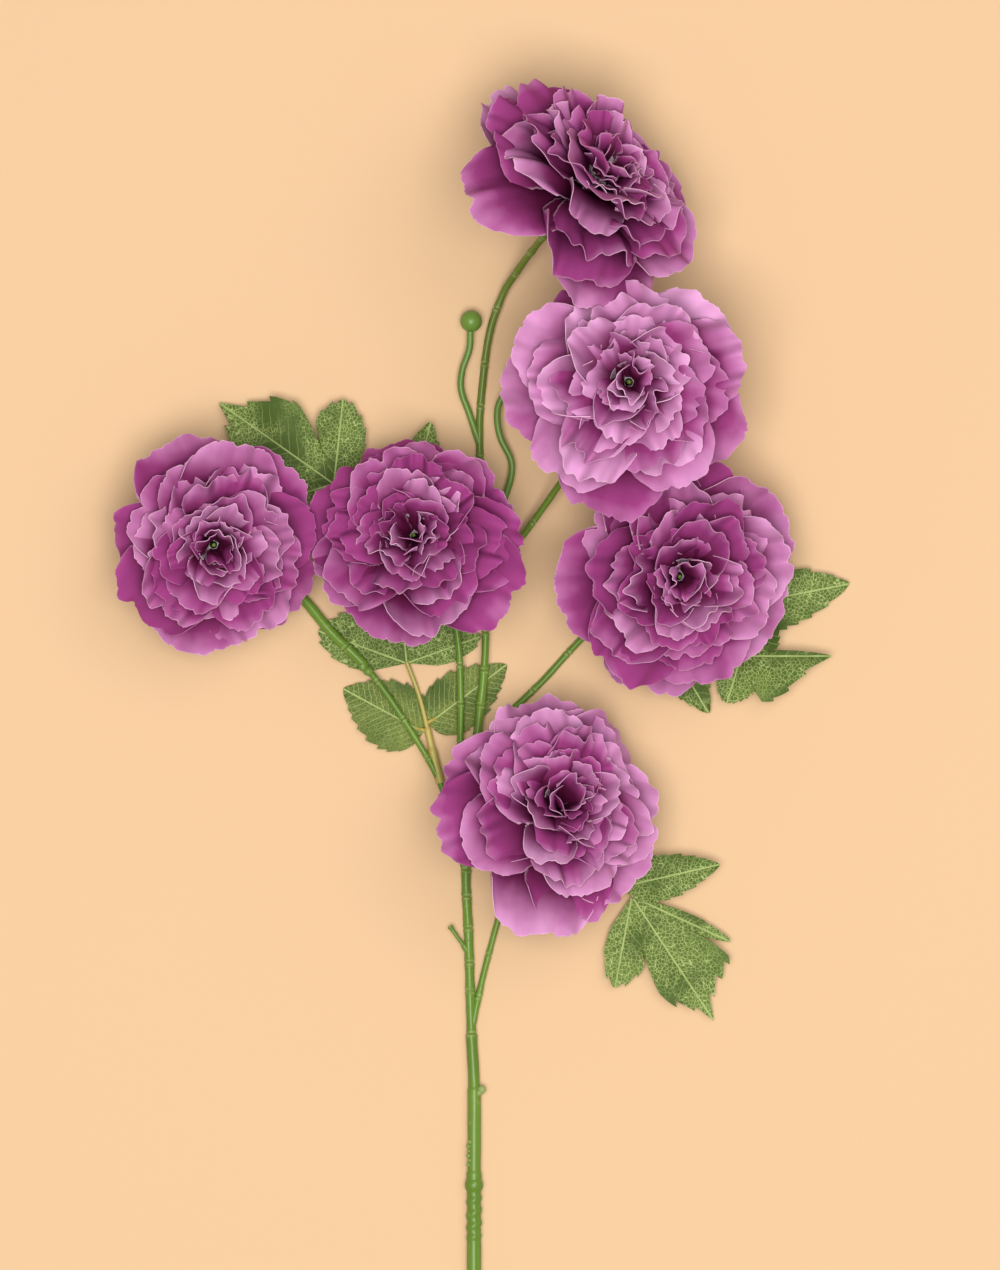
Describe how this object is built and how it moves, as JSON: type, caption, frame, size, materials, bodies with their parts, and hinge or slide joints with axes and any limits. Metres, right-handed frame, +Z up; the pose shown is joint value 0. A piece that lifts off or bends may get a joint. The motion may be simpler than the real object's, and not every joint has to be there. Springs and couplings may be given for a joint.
{
  "type": "artificial carnation spray",
  "caption": "Artificial carnation spray cut at the stem and laid flat: ruffled purple fabric heads, bead buds and serrated leaves on a branching green plastic stem.",
  "frame": {"origin": "middle of the underside of the whole spray's box, on the surface it lies on", "axes": "+Y along the stem from its cut end to the top flower, +Z up from the surface to the flowers' faces, +X to the right seen from above"},
  "size_m": [0.2754, 0.5796, 0.0832],
  "materials": {
    "petal_fabric": "heat-formed purple polyester cloth, matt, paler at the cut edges",
    "leaf_fabric": "coated green cloth printed with pale veins, matt with a faint sheen",
    "stem_plastic": "moulded yellow-green plastic, satin, with ring joints and a flash line",
    "leaf_stalk_plastic": "thin moulded plastic, yellow-olive, slightly translucent",
    "bud_plastic": "smooth moulded green plastic bead, satin"
  },
  "bodies": {
    "root": {"lower_stem": "stem_plastic", "main_stem": "stem_plastic", "left_branch": "stem_plastic", "centre_branch": "stem_plastic", "right_branch": "stem_plastic", "upper_branch": "stem_plastic", "low_branch": "stem_plastic", "left_bud_stalk": "stem_plastic", "right_bud_stalk": "stem_plastic", "left_calyx": "stem_plastic", "centre_calyx": "stem_plastic", "right_calyx": "stem_plastic", "upper_calyx": "stem_plastic", "low_calyx": "stem_plastic", "top_calyx": "stem_plastic", "left_bud": "bud_plastic", "right_bud": "bud_plastic", "upper_left_leaf_stalk": "leaf_stalk_plastic", "lower_left_leaf_stalk": "leaf_stalk_plastic", "right_leaf_stalk": "leaf_stalk_plastic", "low_leaf_stalk": "leaf_stalk_plastic", "upper_left_end_leaf": "leaf_fabric", "upper_left_side_leaf_1": "leaf_fabric", "upper_left_side_leaf_2": "leaf_fabric", "lower_left_end_leaf": "leaf_fabric", "lower_left_side_leaf_1": "leaf_fabric", "lower_left_side_leaf_2": "leaf_fabric", "right_end_leaf": "leaf_fabric", "right_side_leaf_1": "leaf_fabric", "right_side_leaf_2": "leaf_fabric", "low_end_leaf": "leaf_fabric", "low_side_leaf_1": "leaf_fabric", "low_side_leaf_2": "leaf_fabric", "left_outer_petals": "petal_fabric", "left_middle_petals": "petal_fabric", "left_inner_petals": "petal_fabric", "left_heart_petals": "petal_fabric", "centre_outer_petals": "petal_fabric", "centre_middle_petals": "petal_fabric", "centre_inner_petals": "petal_fabric", "centre_heart_petals": "petal_fabric", "right_outer_petals": "petal_fabric", "right_middle_petals": "petal_fabric", "right_inner_petals": "petal_fabric", "right_heart_petals": "petal_fabric", "upper_outer_petals": "petal_fabric", "upper_middle_petals": "petal_fabric", "upper_inner_petals": "petal_fabric", "upper_heart_petals": "petal_fabric", "low_outer_petals": "petal_fabric", "low_middle_petals": "petal_fabric", "low_inner_petals": "petal_fabric", "low_heart_petals": "petal_fabric", "top_outer_petals": "petal_fabric", "top_middle_petals": "petal_fabric", "top_inner_petals": "petal_fabric", "top_heart_petals": "petal_fabric"}
  },
  "joints": []
}
